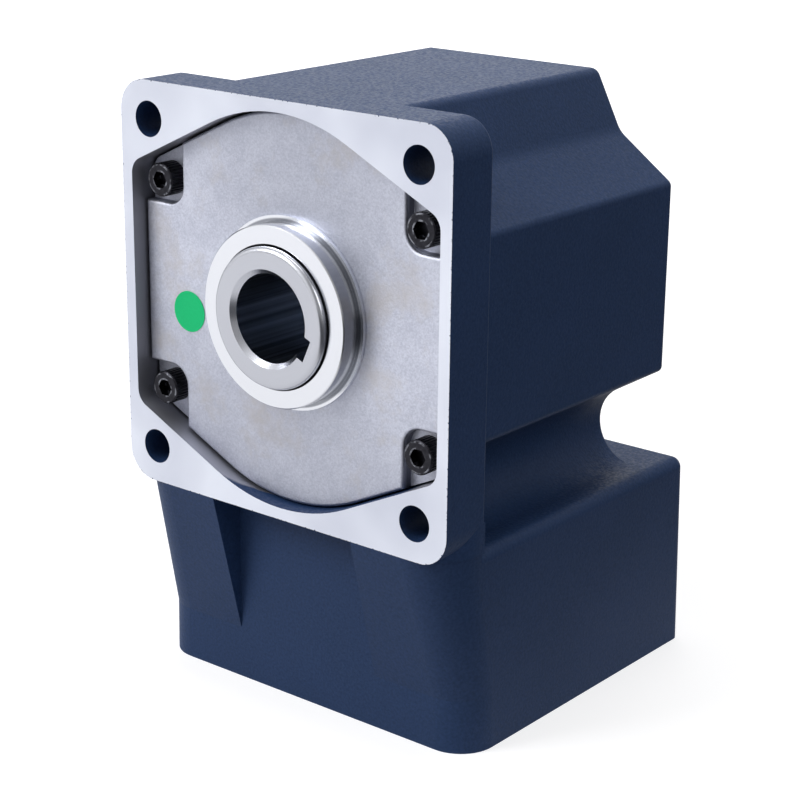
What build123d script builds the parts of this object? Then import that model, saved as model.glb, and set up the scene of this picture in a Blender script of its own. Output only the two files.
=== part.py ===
from build123d import *
from math import acos, atan, cos, pi, radians, sin, sqrt, tan
import os

# Right angle gearhead with a hollow output shaft, for a motor that bolts to its lower face.
# Millimetres. Origin: output axis at the mounting flange's front face.
# +Y runs into the body, +X is to the right seen from the front, +Z is up.

os.makedirs("parts", exist_ok=True)

# Mounting flange
flange_size = 104.0
flange_thickness = 15.0
flange_corner_radius = 8.0
flange_hole_inset = 9.575
flange_hole_radius = 4.5
flange_edge_round = 1.0

# Pocket in the flange that takes the front cover
pocket_margin = 3.0
pocket_wall = 3.2
pocket_flank_angle = 25.6
pocket_corner_radius = 4.5
cover_seat_depth = 14.2

# Upper gear case, an octagon-like hood behind the flange
case_rear = 92.4
case_side_inset = 0.4
hood_top_half_width = 27.8
hood_knee_half_width = 35.6
hood_knee_height = 36.8
hood_shoulder_height = 25.4
hood_top_round = 3.0
hood_knee_round = 7.0
hood_shoulder_round = 2.0
case_rear_round = 1.5

# Side grooves that give room for the lower flange bolts
groove_radius = 10.75
groove_inner_half_width = 33.2
groove_ceiling_angle = 31.0
groove_lip_round = 1.6

# Lower case, which takes the motor
lower_front = 9.85
lower_rear = 107.2
lower_half_width = 52.0
lower_draft = 0.9
lower_front_radius = 10.0
lower_neck_radius = 13.0
lower_rear_radius = 3.0
lower_top_round = 3.0
gusset_foot_height = 14.0
gusset_inner_half_width = 22.8

# Front cover with its turned pilot boss
cover_face = 4.2
cover_side_gap = 0.5
gasket_thickness = 0.5
cover_edge_round = 0.8
notch_side = 5.9
notch_foot = 6.0
notch_corner_radius = 5.0
notch_floor = 7.3
boss_front = -2.0
boss_radius = 22.5
boss_edge = 0.3
boss_lip_radius = 24.0
boss_lip_height = 1.0
boss_bore_gap = 0.45

# Socket head screws of the cover
screw_side_inset = 7.4
screw_corner_inset = 3.95
cover_screw_radius = 2.5
cover_screw_head_radius = 4.25
cover_screw_head_height = 5.0
cover_screw_length = 16.0
cover_screw_socket = 4.0
screw_head_chamfer = 0.35
screw_hole_gap = 0.25
tapped_hole_gap = 0.1
tapped_hole_end = 1.0

# Hollow output shaft
bore_radius = 11.0
bore_chamfer = 1.2
keyway_width = 6.0
keyway_depth = 2.8
keyway_angle = -24.0
shaft_radius = 17.5
shaft_front = -4.0
shaft_rear_inset = 1.0
shaft_nose_round = 1.4
shaft_rear_chamfer = 0.8
shaft_collar_radius = 20.5
shaft_collar_width = 4.0
shaft_body_radius = 19.0

# Rolling bearings: bore radius, outer radius, width
output_bearing = (17.5, 23.5, 7.0)
cross_front_bearing = (4.0, 8.0, 5.0)
cross_rear_bearing = (6.0, 12.0, 6.0)
bevel_bearing = (5.0, 11.0, 6.0)
idler_bearing = (3.0, 6.5, 5.0)
ring_share = 0.27
shield_thickness = 0.5
shield_inset = 0.25
shield_gap = 0.3
bearing_shoulder = 2.0

# Oil seals on the output shaft
front_seal_radius = 21.0
front_seal_width = 4.0
front_seal_start = 0.2
rear_seal_radius = 23.5
rear_seal_width = 7.0
rear_seal_inset = 0.5
seal_lip_gap = 0.1
seal_wall = 1.0

# Gear teeth
pressure_angle = radians(25.0)
backlash = 0.12
dedendum_factor = 1.25
output_module = 1.5
output_teeth = 39
cross_teeth = 13
bevel_module = 1.5
bevel_gear_teeth = 24
bevel_pinion_teeth = 12
bevel_addendum = 0.85
bevel_face_width = 6.5
idler_module = 1.0
idler_pinion_teeth = 13
second_gear_teeth = 27
first_gear_teeth = 30

# Stations along the output and cross shafts
output_gear_front = 28.0
output_gear_width = 18.0
output_key_width = 6.0
output_key_length = 14.0
cross_pinion_overhang = 1.0
cross_waist_radius = 5.5
cross_sleeve_wall = 2.0
cross_key_width = 4.0
cross_key_length = 8.0
output_sleeve_wall = 2.0
bevel_hub_radius = 11.0
bevel_gear_rim = 2.6
bevel_hub_length = 5.0
circlip_thickness = 1.2
circlip_height = 1.6
circlip_half_gap = 20.0
plug_thickness = 4.0

# Stations down the upright shafts
bevel_shaft_radius = 5.0
bevel_sleeve_wall = 1.5
bevel_bearing_gap = 1.0
bevel_bearing_spacing = 16.0
carrier_thickness = 6.0
carrier_spigot_radius = 19.9
carrier_screw_margin = 2.0
second_gear_gap = 1.5
second_gear_width = 5.0
second_gear_seat_radius = 4.0
second_key_width = 2.0
first_gear_seat_radius = 3.5
first_gear_width = 5.0
stage_gap = 2.5
idler_shaft_radius = 3.0
idler_pinion_width = 6.0

# Motor side
motor_pilot_depth = 3.5
motor_hole_wall = 8.0
motor_hole_radius = 2.5
motor_hole_depth = 16.0
motor_plate_thickness = 6.5
motor_plate_gap = 0.3
plate_step = 0.8
motor_pinion_hole_radius = 8.0
plate_screw_margin = 0.4
plate_screw_radius = 1.5
plate_screw_head_radius = 2.8
plate_screw_length = 12.0
carrier_screw_radius = 2.0
carrier_screw_head_radius = 3.5
carrier_screw_head_height = 4.0
carrier_screw_length = 14.0
carrier_screw_socket = 3.0

# Clearances inside the gear case
chamber_clearance = 1.5
cross_chamber_clearance = 1.2
cross_waist_gap = 1.5
cross_bore_gap = 3.0
cross_front_wall = 6.0
gasket_land = 2.9
gasket_edge = 1.7
first_gear_clearance = 1.8
end_gap = 0.5

# Round inspection mark on the cover
mark_radius = 5.25
mark_thickness = 0.15
mark_side_inset = 15.0
mark_drop = 5.8

# How far a cut runs past the face it opens, and how near an edge must lie to be picked
past = 1.0
tiny = 0.01


# Places that follow from the sizes above
half_flange = flange_size / 2
flange_hole_spacing = flange_size - 2 * flange_hole_inset
lower_top = -half_flange
pocket_radius = half_flange - pocket_margin
pocket_half_width = half_flange - pocket_wall
pocket_flank = radians(pocket_flank_angle)
pocket_corner_height = (pocket_radius - pocket_half_width * sin(pocket_flank)) / cos(pocket_flank)
screw_half_spacing_x = pocket_half_width - screw_side_inset
screw_half_spacing_z = pocket_corner_height - screw_corner_inset
notch_half_width = screw_half_spacing_x - notch_side
notch_half_height = screw_half_spacing_z - notch_foot
mark_x = mark_side_inset - pocket_half_width
motor_axis_y = (lower_front + lower_rear) / 2
cross_axis_z = -output_module * (output_teeth + cross_teeth) / 2
idler_axis_x = idler_module * (idler_pinion_teeth + second_gear_teeth) / 2
cover_back = cover_seat_depth - gasket_thickness
shaft_rear = case_rear - shaft_rear_inset
output_gear_rear = output_gear_front + output_gear_width
rear_seal_back = case_rear - rear_seal_inset
rear_seal_front = rear_seal_back - rear_seal_width
rear_bearing_front = rear_seal_front - output_bearing[2]
front_bearing_front = cover_back - output_bearing[2]
output_gear_tip = output_module * (output_teeth / 2 + 1)
chamber_radius = output_gear_tip + chamber_clearance
plug_front = case_rear - plug_thickness
cross_clip_front = plug_front - circlip_thickness
cross_rear_bearing_front = cross_clip_front - cross_rear_bearing[2]
cross_front_bearing_front = cover_back - cross_front_bearing[2]
bevel_bearing_top = cross_axis_z - bevel_module * bevel_gear_teeth / 2 - bevel_bearing_gap
carrier_bottom = bevel_bearing_top - bevel_bearing_spacing - bevel_bearing[2]
carrier_top = carrier_bottom + carrier_thickness
second_gear_top = carrier_bottom - second_gear_gap
second_gear_bottom = second_gear_top - second_gear_width
first_gear_top = second_gear_bottom - stage_gap
first_gear_bottom = first_gear_top - first_gear_width
first_gear_room = idler_module * (first_gear_teeth / 2 + 1) + first_gear_clearance
motor_seat = first_gear_bottom - end_gap
motor_plate_top = motor_seat - gasket_thickness
motor_plate_bottom = motor_plate_top - motor_plate_thickness
lower_bottom = motor_plate_bottom - motor_pilot_depth
gusset_foot = lower_bottom + gusset_foot_height
plate_seat_radius = idler_axis_x + first_gear_room + gasket_land
plate_screw_circle = plate_seat_radius - motor_plate_gap - plate_screw_head_radius - plate_screw_margin
lower_chamber_radius = plate_screw_circle - plate_screw_radius - gasket_edge
carrier_radius = lower_chamber_radius - end_gap
carrier_screw_circle = carrier_radius - carrier_screw_head_radius - carrier_screw_margin
motor_pilot_radius = plate_seat_radius + plate_step
motor_hole_circle = motor_pilot_radius + motor_hole_wall + motor_hole_radius
idler_pinion_top = second_gear_top + end_gap
idler_pinion_bottom = idler_pinion_top - idler_pinion_width
idler_shaft_bottom = motor_plate_top - idler_bearing[2] + end_gap
idler_shaft_top = carrier_bottom + idler_bearing[2] - end_gap
bevel_shaft_end = second_gear_bottom - circlip_thickness - end_gap
cross_pinion_front = output_gear_front - cross_pinion_overhang
cross_pinion_rear = output_gear_rear + cross_pinion_overhang
cross_chamber_radius = bevel_module * (bevel_gear_teeth / 2 + bevel_addendum) + cross_chamber_clearance
cross_chamber_front = cover_seat_depth + cross_front_wall
cross_chamber_rear = rear_bearing_front - end_gap
cross_waist_room = cross_waist_radius + cross_waist_gap
cross_shaft_rear = cross_rear_bearing_front + cross_rear_bearing[2]
cross_sleeve_radius = cross_rear_bearing[0] + cross_sleeve_wall
bevel_sleeve_radius = bevel_shaft_radius + bevel_sleeve_wall
cover_hole_radius = cover_screw_radius + screw_hole_gap
carrier_hole_radius = carrier_screw_radius + screw_hole_gap
carrier_tap_radius = carrier_screw_radius + tapped_hole_gap
plate_tap_radius = plate_screw_radius + tapped_hole_gap


def along_y(outline, y_from, y_to):
    """Push an outline drawn in X and Z through the depth from y_from to y_to."""
    return extrude(Plane.XZ.offset(-y_from) * outline, amount=y_to - y_from, dir=(0, 1, 0))


def along_z(outline, z_from, z_to):
    """Push an outline drawn in X and Y up from z_from to z_to."""
    return extrude(Plane.XY.offset(z_from) * outline, amount=z_to - z_from, dir=(0, 0, 1))


def rod_y(radius, y_from, y_to, x=0.0, z=0.0):
    return along_y(Pos(x, z) * Circle(radius), y_from, y_to)


def rod_z(radius, z_from, z_to, x=0.0, y=0.0):
    return along_z(Pos(x, y) * Circle(radius), z_from, z_to)


def facing_y(y, x=0.0, z=0.0):
    """Place a part turned about local Z so that its axis runs along +Y."""
    return Pos(x, y, z) * Rot(-90, 0, 0)


def tube(outer, inner, length):
    return extrude(Circle(outer) - Circle(inner), amount=length)


def corners(half_x, half_z):
    """The four corner points of a centred rectangle."""
    return [(sx * half_x, sz * half_z) for sx in (-1, 1) for sz in (-1, 1)]


def quarter_points(radius):
    """Four points at 45 degrees on a circle."""
    return corners(radius / sqrt(2), radius / sqrt(2))


def corners_at(outline, half_x, z):
    """The outline's corners at a height and the same distance to either side of the middle."""
    points = outline.vertices()
    return [v for v in points if abs(abs(v.X) - half_x) < tiny and abs(abs(v.Y) - abs(z)) < tiny]


def pocket_outline(inset):
    """Round outline with straight flanks and short upright sides, made smaller by inset."""
    radius = pocket_radius - inset
    half_width = pocket_half_width - inset
    touch_x = radius * sin(pocket_flank)
    touch_z = radius * cos(pocket_flank)
    corner_z = (radius - half_width * sin(pocket_flank)) / cos(pocket_flank)
    flat_sides = Polygon(
        (half_width, -corner_z), (half_width, corner_z), (touch_x, touch_z), (-touch_x, touch_z),
        (-half_width, corner_z), (-half_width, -corner_z), (-touch_x, -touch_z), (touch_x, -touch_z),
        align=None)
    outline = (Circle(radius) & Rectangle(2 * half_width, 2 * radius)) + flat_sides
    return fillet(corners_at(outline, half_width, corner_z), pocket_corner_radius - inset)


def hood_outline():
    """Cross section of the gear case: stepped hood above, grooved neck below."""
    half_width = half_flange - case_side_inset
    neck_foot = lower_top - lower_top_round - past
    neck_half_width = groove_inner_half_width + groove_radius
    right = [(hood_top_half_width, half_flange), (hood_knee_half_width, hood_knee_height),
             (half_width, hood_shoulder_height), (half_width, lower_top),
             (neck_half_width, lower_top), (neck_half_width, neck_foot)]
    left = [(-x, z) for x, z in reversed(right)]
    outline = Polygon(*right, *left, align=None)
    for (x, z), radius in zip(right, (hood_top_round, hood_knee_round, hood_shoulder_round)):
        outline = fillet(corners_at(outline, x, z), radius)
    return outline


def groove_outline(side):
    """Side groove: a round inner end, a flat floor and a ceiling that slopes up and out."""
    slope = radians(groove_ceiling_angle)
    centre_x = groove_inner_half_width + groove_radius
    centre_z = lower_top + groove_radius
    touch_x = centre_x - groove_radius * sin(slope)
    touch_z = centre_z + groove_radius * cos(slope)
    outer_x = flange_size
    outer_z = touch_z + (outer_x - touch_x) * tan(slope)
    floor_z = lower_top
    mouth = Polygon((touch_x, touch_z), (outer_x, outer_z), (outer_x, floor_z), (centre_x, floor_z),
                    (centre_x, centre_z), align=None)
    outline = mouth + Pos(centre_x, centre_z) * Circle(groove_radius)
    return outline if side > 0 else mirror(outline, Plane.YZ)


def lower_section(z, front, front_radius):
    """Level outline of the lower case at height z, narrower upwards by its draft."""
    inset = (z - lower_bottom) * tan(radians(lower_draft))
    half_width = lower_half_width - inset
    rear = lower_rear - inset
    centre_y = (front + rear) / 2
    outline = Pos(0, centre_y) * Rectangle(2 * half_width, rear - front)
    outline = fillet([v for v in outline.vertices() if v.Y < centre_y], front_radius)
    rear_corners = [v for v in outline.vertices() if v.Y > rear - tiny]
    return Plane.XY.offset(z) * fillet(rear_corners, lower_rear_radius)


def lower_case():
    """Motor end of the housing with its sloped front gussets."""
    foot = lower_section(lower_bottom, lower_front, lower_front_radius)
    knee = lower_section(gusset_foot, lower_front, lower_front_radius)
    top = lower_section(lower_top, 0.0, lower_neck_radius)
    body = loft([foot, knee], ruled=True) + loft([knee, top], ruled=True)
    rim = [e for e in body.edges() if e.center().Z > lower_top - tiny]
    rounded = fillet(rim, lower_top_round)
    ahead = along_y(Rectangle(2 * flange_size, 4 * flange_size), -flange_thickness, flange_thickness)
    body = (rounded - ahead) + (body & ahead)
    recess = Rectangle(2 * gusset_inner_half_width, 2 * lower_front)
    body -= along_z(recess, lower_bottom - past, lower_top)
    collar = Pos(0, flange_thickness / 2) * Rectangle(flange_size, flange_thickness)
    collar = fillet([v for v in collar.vertices() if v.Y < tiny], lower_neck_radius)
    return body + along_z(collar, lower_top, lower_top + flange_corner_radius)


def make_housing():
    """One casting: flange, hooded gear case, grooved neck and the lower motor case."""
    flange = along_y(RectangleRounded(flange_size, flange_size, flange_corner_radius), 0, flange_thickness)
    back_edges = [e for e in flange.edges() if e.center().Y > flange_thickness - tiny]
    flange = fillet(back_edges, flange_edge_round)
    section = hood_outline() - groove_outline(1) - groove_outline(-1)
    side = half_flange - case_side_inset
    lips = [v for v in section.vertices() if abs(abs(v.X) - side) < tiny and lower_top + past < v.Y < 0]
    case = along_y(fillet(lips, groove_lip_round), lower_front, case_rear)
    rear_rim = [e for e in case.edges() if e.center().Y > case_rear - tiny and e.center().Z > lower_top]
    case = fillet(rear_rim, case_rear_round)
    body = flange + case + lower_case()

    body -= along_y(pocket_outline(0), -past, cover_seat_depth)
    body -= rod_y(chamber_radius, cover_seat_depth, rear_bearing_front)
    body -= rod_y(output_bearing[1], rear_bearing_front - past, case_rear + past)
    body -= rod_y(cross_waist_room, cover_seat_depth, cross_chamber_front, z=cross_axis_z)
    body -= rod_y(cross_chamber_radius, cross_chamber_front, cross_chamber_rear, z=cross_axis_z)
    cross_passage = cross_rear_bearing[0] + cross_bore_gap
    body -= rod_y(cross_passage, cross_chamber_rear, cross_rear_bearing_front, z=cross_axis_z)
    body -= rod_y(cross_rear_bearing[1], cross_rear_bearing_front, case_rear + past, z=cross_axis_z)

    body -= rod_z(motor_pilot_radius, lower_bottom - past, motor_plate_bottom, y=motor_axis_y)
    body -= rod_z(plate_seat_radius, motor_plate_bottom - past, motor_seat, y=motor_axis_y)
    body -= rod_z(lower_chamber_radius, motor_seat - past, carrier_top, y=motor_axis_y)
    body -= rod_z(first_gear_room, motor_seat - past, first_gear_top + past, x=idler_axis_x, y=motor_axis_y)
    spigot_room = carrier_spigot_radius + tapped_hole_gap
    body -= rod_z(spigot_room, carrier_top - past, cross_axis_z, y=motor_axis_y)

    half_spacing = flange_hole_spacing / 2
    for x, z in corners(half_spacing, half_spacing):
        body -= rod_y(flange_hole_radius, -past, flange_thickness + past, x, z)
    for x, z in corners(screw_half_spacing_x, screw_half_spacing_z):
        depth = notch_floor + cover_screw_length + tapped_hole_end
        body -= rod_y(cover_screw_radius + tapped_hole_gap, cover_seat_depth - past, depth, x, z)
    for x, y in quarter_points(motor_hole_circle):
        top = lower_bottom + motor_hole_depth
        body -= rod_z(motor_hole_radius, lower_bottom - past, top, x, y + motor_axis_y)
    for x, y in quarter_points(plate_screw_circle):
        top = motor_plate_bottom + plate_screw_length + tapped_hole_end
        body -= rod_z(plate_tap_radius, motor_seat - past, top, x, y + motor_axis_y)
    for x, y in quarter_points(carrier_screw_circle):
        top = carrier_bottom + carrier_screw_length + tapped_hole_end
        body -= rod_z(carrier_tap_radius, carrier_top - past, top, x, y + motor_axis_y)
    return body


def make_cover():
    """Cast front cover with corner notches for its screws and a turned boss round the shaft."""
    plate = along_y(pocket_outline(cover_side_gap), cover_face, cover_back)
    reach = half_flange - notch_half_width
    for side_x, side_z in corners(1, 1):
        centre = Pos(side_x * (notch_half_width + reach / 2), side_z * (notch_half_height + reach / 2))
        notch = centre * Rectangle(reach, reach)
        inner = corners_at(notch, notch_half_width, notch_half_height)
        plate -= along_y(fillet(inner, notch_corner_radius), cover_face - past, notch_floor)
    face_edges = [e for e in plate.edges() if e.center().Y < cover_face + tiny]
    plate = fillet(face_edges, cover_edge_round)
    boss = rod_y(boss_radius, boss_front, cover_face)
    boss = chamfer([e for e in boss.edges() if e.center().Y < boss_front + tiny], boss_edge)
    plate += boss + rod_y(boss_lip_radius, cover_face - boss_lip_height, cover_face + past)
    plate -= rod_y(shaft_radius + boss_bore_gap, boss_front - past, cover_back + past)
    plate -= rod_y(front_seal_radius, front_seal_start, cover_back)
    plate -= rod_y(output_bearing[1], front_bearing_front, cover_back)
    plate -= rod_y(cross_front_bearing[1], cross_front_bearing_front, cover_back, z=cross_axis_z)
    for x, z in corners(screw_half_spacing_x, screw_half_spacing_z):
        plate -= rod_y(cover_hole_radius, notch_floor - past, cover_back + past, x, z)
    return plate


def make_cover_gasket():
    """Paper gasket between the cover and its seat, open over the shafts."""
    outline = pocket_outline(cover_side_gap) - Circle(chamber_radius)
    outline -= Pos(0, cross_axis_z) * Circle(cross_waist_room)
    for x, z in corners(screw_half_spacing_x, screw_half_spacing_z):
        outline -= Pos(x, z) * Circle(cover_hole_radius)
    return along_y(outline, cover_back, cover_seat_depth)


def socket_screw(radius, head_radius, head_height, length, socket):
    """Cap screw along local Z: head from -head_height to 0, shank from 0 to length."""
    head = Pos(0, 0, -head_height) * extrude(Circle(head_radius), amount=head_height)
    rim = [e for e in head.edges() if e.center().Z < tiny - head_height]
    head = chamfer(rim, screw_head_chamfer)
    recess = Pos(0, 0, -head_height) * extrude(RegularPolygon(socket / sqrt(3), 6), amount=head_height / 2)
    return head + extrude(Circle(radius), amount=length) - recess


def countersunk_screw(radius, head_radius, length):
    """Flat head screw along local Z, its head flush at 0."""
    depth = head_radius - radius
    cone = Pos(0, 0, depth / 2) * Cone(head_radius, radius, depth)
    return cone + extrude(Circle(radius), amount=length)


def outer_race(bearing):
    """Outer ring of a shielded ball bearing along local Z, with its two shields."""
    bore, outer, width = bearing
    ring_height = (outer - bore) * ring_share
    shield = tube(outer - ring_height, bore + ring_height + shield_gap, shield_thickness)
    front = Pos(0, 0, shield_inset) * shield
    rear = Pos(0, 0, width - shield_inset - shield_thickness) * shield
    return tube(outer, outer - ring_height, width) + front + rear


def inner_race(bearing):
    """Inner ring of a shielded ball bearing along local Z."""
    bore, outer, width = bearing
    return tube(bore + (outer - bore) * ring_share, bore, width)


def oil_seal(outer, inner, width):
    """Lip seal along local Z: outer case, web and a short lip round the shaft."""
    case = tube(outer, outer - seal_wall, width)
    web = tube(outer - seal_wall, inner, seal_wall)
    lip = Pos(0, 0, seal_wall) * tube(inner + seal_wall, inner, width / 2)
    return case + web + lip


def circlip(inner, outer):
    """Open spring ring along local Z, its gap towards local +X."""
    half_gap = radians(circlip_half_gap)
    reach = 2 * outer
    gap = Polygon((0, 0), (reach * cos(half_gap), -reach * sin(half_gap)),
                  (reach * cos(half_gap), reach * sin(half_gap)), align=None)
    return extrude(Circle(outer) - Circle(inner) - gap, amount=circlip_thickness, dir=(0, 0, 1))


def involute(angle):
    return tan(angle) - angle


def tooth_half_angle(radius, pitch_radius, teeth):
    """Half the angle that a tooth spans at a radius, thinned for backlash."""
    base_radius = pitch_radius * cos(pressure_angle)
    at_pitch = pi / (2 * teeth) - backlash / (4 * pitch_radius)
    local = acos(min(1.0, base_radius / radius))
    return at_pitch + involute(pressure_angle) - involute(local)


def polar(radius, angle):
    return (radius * cos(angle), radius * sin(angle))


def spur_outline(module, teeth):
    """Outline of an involute spur gear with one tooth centred on local +X."""
    pitch_radius = module * teeth / 2
    tip = pitch_radius + module
    root = pitch_radius - dedendum_factor * module
    start = max(pitch_radius * cos(pressure_angle), root)
    levels = (start, (start + tip) / 2, tip)
    spread = [tooth_half_angle(level, pitch_radius, teeth) for level in levels]
    edges = []
    for index in range(teeth):
        centre = 2 * pi * index / teeth
        following = centre + 2 * pi / teeth
        rise = [polar(level, centre - half) for level, half in zip(levels, spread)]
        fall = [polar(level, centre + half) for level, half in zip(levels, spread)]
        foot = polar(root, centre + spread[0])
        next_foot = polar(root, following - spread[0])
        edges.append(ThreePointArc(*rise))
        edges.append(ThreePointArc(rise[2], polar(tip, centre), fall[2]))
        edges.append(ThreePointArc(*fall))
        edges.append(ThreePointArc(foot, polar(root, (centre + following) / 2), next_foot))
        if start > root:
            edges.append(Line(fall[0], foot))
            edges.append(Line(next_foot, polar(start, following - spread[0])))
    return make_face(Wire(edges))


def spur_wheel(module, teeth, width, bore=0.0):
    """Spur gear along local Z, bored where a bore radius is given."""
    outline = spur_outline(module, teeth)
    if bore > 0:
        outline -= Circle(bore)
    return extrude(outline, amount=width, dir=(0, 0, 1))


def bevel_teeth(blank, teeth, mate_teeth):
    """Cut straight bevel teeth into a blank whose pitch cone has its tip at the local origin.

    Each gap is the gap of the equivalent spur gear on the back cone, drawn square to the
    pitch line and shrunk towards the cone's tip. A gap is centred on local +X.
    """
    cone = atan(teeth / mate_teeth)
    cone_length = bevel_module * teeth / 2 / sin(cone)
    virtual_radius = bevel_module * teeth / 2 / cos(cone)
    virtual_teeth = teeth / cos(cone)
    root = virtual_radius - dedendum_factor * bevel_module
    start = max(root, virtual_radius * cos(pressure_angle))
    tip = virtual_radius + dedendum_factor * bevel_module
    along = (sin(cone), 0, cos(cone))

    def flank_point(radius, scale, side):
        """Point on a gap's flank, measured from the pitch line."""
        half = pi / virtual_teeth - tooth_half_angle(max(radius, start), virtual_radius, virtual_teeth)
        return (scale * radius * cos(half) - scale * virtual_radius, side * scale * radius * sin(half))

    def section(distance):
        """The gap's outline at a distance from the cone's tip."""
        scale = distance / cone_length
        left = [flank_point(level, scale, -1) for level in (root, start, (start + tip) / 2, tip)]
        right = [flank_point(level, scale, 1) for level in (root, start, (start + tip) / 2, tip)]
        edges = [ThreePointArc(*left[1:]), Line(left[3], right[3])]
        edges += [ThreePointArc(*right[:0:-1]), Line(right[0], left[0])]
        if start > root:
            edges += [Line(left[0], left[1]), Line(right[1], right[0])]
        outward = (cos(cone), 0, -sin(cone))
        square = Plane(origin=tuple(distance * a for a in along), x_dir=outward, z_dir=along)
        return square * make_face(Wire(edges))

    outer_end = section(cone_length + past)
    inner_end = section(cone_length - bevel_face_width - past)
    cutter = loft([outer_end, inner_end], ruled=True)
    return blank - [Rot(0, 0, 360 * index / teeth) * cutter for index in range(teeth)]


def bevel_zone(teeth, mate_teeth, rim):
    """Radius and height of the tooth zone's corners: back foot, back tip, front tip, front foot."""
    cone = atan(teeth / mate_teeth)
    cone_length = bevel_module * teeth / 2 / sin(cone)
    foot = -dedendum_factor * bevel_module - rim
    head = bevel_addendum * bevel_module
    front = cone_length - bevel_face_width
    points = []
    for distance, height in ((cone_length, foot), (cone_length, head), (front, head), (front, foot)):
        scaled = height * distance / cone_length
        radius = distance * sin(cone) + scaled * cos(cone)
        points.append((radius, distance * cos(cone) - scaled * sin(cone)))
    return points


def turned(points):
    """Revolve a closed outline of radius and height points about local Z."""
    return revolve(Plane.XZ * Polygon(*points, align=None), Axis.Z)


bevel_wheel_zone = bevel_zone(bevel_gear_teeth, bevel_pinion_teeth, bevel_gear_rim)
bevel_pinion_zone = bevel_zone(bevel_pinion_teeth, bevel_gear_teeth, 0.0)
bevel_hub_front = motor_axis_y + bevel_wheel_zone[3][1]
bevel_hub_rear = motor_axis_y + bevel_wheel_zone[0][1] + bevel_hub_length
bevel_pinion_back = cross_axis_z - bevel_pinion_zone[0][1]


def make_bevel_gear():
    """Bevel wheel on the cross shaft, its teeth facing forwards."""
    back_foot, back_tip, front_tip, front_foot = bevel_wheel_zone
    bore = cross_rear_bearing[0]
    hub_end = back_foot[1] + bevel_hub_length
    blank = turned([(bore, front_foot[1]), front_foot, front_tip, back_tip, back_foot,
                    (bevel_hub_radius, back_foot[1]), (bevel_hub_radius, hub_end), (bore, hub_end)])
    wheel = bevel_teeth(blank, bevel_gear_teeth, bevel_pinion_teeth)
    wheel = Rot(0, 0, 90 + 180 / bevel_gear_teeth) * wheel
    slot = Box(cross_key_width, cross_key_width, hub_end - front_foot[1] + past)
    wheel -= Pos(0, bore, (hub_end + front_foot[1]) / 2) * slot
    return facing_y(motor_axis_y, z=cross_axis_z) * wheel


def make_bevel_pinion_shaft():
    """Upright shaft with its bevel pinion cut on the upper end and a gear seat at the lower end."""
    back_foot, back_tip, front_tip, front_foot = bevel_pinion_zone
    blank = turned([(0, front_foot[1]), front_foot, front_tip, back_tip, back_foot, (0, back_foot[1])])
    pinion = bevel_teeth(blank, bevel_pinion_teeth, bevel_gear_teeth)
    pinion = Pos(0, 0, cross_axis_z) * Rot(180, 0, 0) * Rot(0, 0, -90) * pinion
    pinion += rod_z(bevel_sleeve_radius, bevel_bearing_top, bevel_pinion_back)
    pinion += rod_z(bevel_shaft_radius, second_gear_top, bevel_bearing_top)
    pinion += rod_z(second_gear_seat_radius, bevel_shaft_end, second_gear_top)
    key_place = Pos(0, -second_gear_seat_radius, (second_gear_top + second_gear_bottom) / 2)
    pinion -= key_place * Box(second_key_width, second_key_width, second_gear_width)
    return Pos(0, motor_axis_y, 0) * pinion


def make_hollow_shaft():
    """Hollow output shaft with a keyed bore, a collar for its gear and ground bearing seats."""
    shaft = rod_y(shaft_radius, shaft_front, shaft_rear)
    shaft = fillet([e for e in shaft.edges() if e.center().Y < shaft_front + tiny], shaft_nose_round)
    shaft = chamfer([e for e in shaft.edges() if e.center().Y > shaft_rear - tiny], shaft_rear_chamfer)
    collar_rear = output_gear_rear + shaft_collar_width
    shaft += rod_y(shaft_collar_radius, output_gear_rear, collar_rear)
    shaft += rod_y(shaft_body_radius, collar_rear, rear_bearing_front)
    shaft -= rod_y(bore_radius, shaft_front - past, shaft_rear + past)
    mouth = Cone(bore_radius + bore_chamfer, bore_radius, bore_chamfer)
    shaft -= facing_y(shaft_front + bore_chamfer / 2) * mouth
    shaft -= Pos(0, shaft_rear - bore_chamfer / 2, 0) * Rot(90, 0, 0) * mouth
    bottom = bore_radius + keyway_depth
    keyway = Pos(bottom / 2, 0) * Rectangle(bottom, keyway_width)
    shaft -= along_y(Rot(0, 0, keyway_angle) * keyway, shaft_front - past, shaft_rear + past)
    return shaft - make_output_key()


def make_output_gear():
    """Spur wheel keyed to the hollow shaft, a tooth centred straight up."""
    wheel = spur_wheel(output_module, output_teeth, output_gear_width, shaft_radius)
    slot = Pos(shaft_radius, 0, output_gear_width / 2)
    wheel -= slot * Box(output_key_width, output_key_width, output_gear_width)
    return facing_y(output_gear_front) * Rot(0, 0, -90) * wheel


def make_output_key():
    middle = (output_gear_front + output_gear_rear) / 2
    return Pos(0, middle, shaft_radius) * Box(output_key_width, output_key_length, output_key_width)


def make_cross_shaft():
    """Cross shaft with its spur pinion cut on it, a tooth centred straight up."""
    front = cross_front_bearing_front
    shaft = rod_y(cross_front_bearing[0], front, cover_back + past)
    shaft += rod_y(cross_waist_radius, cover_back, cross_pinion_front + past)
    shaft += rod_y(cross_rear_bearing[0], cross_pinion_rear - past, cross_shaft_rear)
    pinion = spur_wheel(output_module, cross_teeth, cross_pinion_rear - cross_pinion_front)
    shaft += facing_y(cross_pinion_front) * Rot(0, 0, -90) * pinion
    return Pos(0, 0, cross_axis_z) * shaft - make_cross_key()


def make_cross_key():
    middle = (bevel_hub_front + bevel_hub_rear) / 2
    centre = Pos(0, middle, cross_axis_z - cross_rear_bearing[0])
    return centre * Box(cross_key_width, cross_key_length, cross_key_width)


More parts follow.
